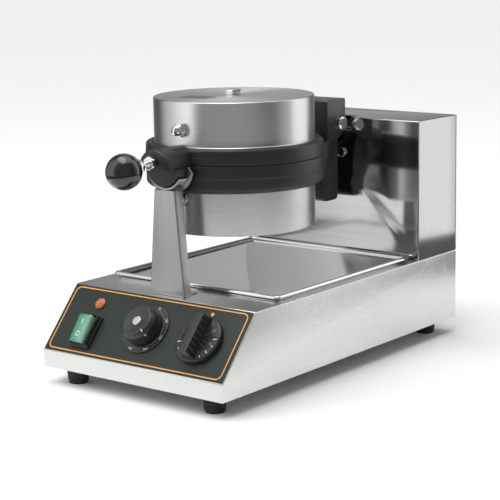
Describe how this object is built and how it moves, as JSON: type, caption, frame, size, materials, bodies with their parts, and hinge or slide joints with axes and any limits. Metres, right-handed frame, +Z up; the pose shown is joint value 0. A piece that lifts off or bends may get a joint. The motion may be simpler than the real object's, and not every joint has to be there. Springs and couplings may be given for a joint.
{
  "type": "waffle cone maker",
  "caption": "Tabletop electric waffle cone baker: hinged round irons that turn over on a shaft between a front post and a rear tower, on a sloped control base with a drip tray.",
  "frame": {"origin": "on the table, under the centre of the whole machine's box", "axes": "+X to the right along the control panel, +Y from the handle and panel back to the tower, +Z up"},
  "size_m": [0.254, 0.4845, 0.3143],
  "materials": {
    "sheet_steel": "satin",
    "mirror_steel": "polished",
    "brushed_steel": "brushed round the drum",
    "black_casting": "satin black enamel",
    "baking_iron": "seasoned",
    "chrome": "bright",
    "black_rubber": "matte",
    "black_plastic": "satin black",
    "panel_print": "printed, satin",
    "green_boot": "translucent green",
    "amber_lens": "amber lens",
    "bronze": "sintered bronze",
    "ceramic": "glazed ceramic",
    "element_steel": "heat-darkened"
  },
  "bodies": {
    "base": {"base_housing": "sheet_steel", "bottom_plate": "sheet_steel", "foot_front_left": "black_rubber", "foot_front_right": "black_rubber", "foot_rear_left": "black_rubber", "foot_rear_right": "black_rubber", "control_panel": "panel_print", "switch_bezel": "black_plastic", "indicator_lamp": "amber_lens", "thermostat_dial": "black_plastic", "thermostat_body": "ceramic", "timer_body": "ceramic", "terminal_block": "ceramic", "cord_gland": "black_plastic", "tower_housing": "mirror_steel", "tower_rear_cover": "sheet_steel", "cover_screw_lower_left": "chrome", "cover_screw_lower_right": "chrome", "cover_screw_upper_left": "chrome", "cover_screw_upper_right": "chrome", "bearing_block": "black_casting", "bearing_bolt_left": "chrome", "bearing_bolt_right": "chrome", "bearing_bush": "bronze", "rotation_stop": "black_casting", "front_post": "sheet_steel", "post_cradle": "sheet_steel", "post_screw_left": "chrome", "post_screw_right": "chrome"},
    "power_rocker": {"power_rocker": "green_boot"},
    "thermostat_knob": {"thermostat_knob": "black_plastic", "thermostat_spindle": "chrome"},
    "timer_knob": {"timer_knob": "black_plastic", "timer_spindle": "chrome"},
    "drip_tray": {"drip_tray": "mirror_steel"},
    "lower_iron": {"lower_ring": "black_casting", "lower_plate": "baking_iron", "lower_heating_element": "element_steel", "lower_element_clamp": "sheet_steel", "lower_housing": "brushed_steel", "lower_centre_bolt": "chrome", "lower_cap_nut": "chrome", "hinge_block": "black_casting", "hinge_pin": "chrome", "hinge_pin_nut": "chrome", "rotation_shaft": "chrome", "shaft_collar": "chrome"},
    "upper_iron": {"upper_ring": "black_casting", "upper_journal": "black_casting", "upper_plate": "baking_iron", "upper_heating_element": "element_steel", "upper_element_clamp": "sheet_steel", "upper_housing": "brushed_steel", "upper_centre_bolt": "chrome", "upper_cap_nut": "chrome", "hinge_bracket": "black_casting", "handle_rod": "chrome", "handle_lock_nut": "chrome", "handle_ferrule": "chrome", "handle_ball": "black_plastic"}
  },
  "joints": [
    {"name": "iron_turnover", "type": "hinge", "parent": "base", "child": "lower_iron", "pos_m": [0, -0.04052, 0.24149], "axis": [0, 1, 0], "range_deg": [-180, 0]},
    {"name": "lid_hinge", "type": "hinge", "parent": "lower_iron", "child": "upper_iron", "pos_m": [0, 0.12787, 0.26049], "axis": [-1, 0, 0], "range_deg": [0, 90]},
    {"name": "power_switch", "type": "hinge", "parent": "base", "child": "power_rocker", "pos_m": [-0.0775, -0.2056, 0.05929], "axis": [-1, 0, 0], "range_deg": [0, 10]},
    {"name": "thermostat_turn", "type": "hinge", "parent": "base", "child": "thermostat_knob", "pos_m": [0, -0.1961, 0.07158], "axis": [0, -0.7502, 0.6612], "range_deg": [-90, 120]},
    {"name": "timer_turn", "type": "hinge", "parent": "base", "child": "timer_knob", "pos_m": [0.0775, -0.19775, 0.06971], "axis": [0, -0.7502, 0.6612], "range_deg": [-300, 0]},
    {"name": "tray_lift", "type": "slide", "parent": "base", "child": "drip_tray", "axis": [0, 0, 1], "range_m": [0, 0.04]}
  ]
}
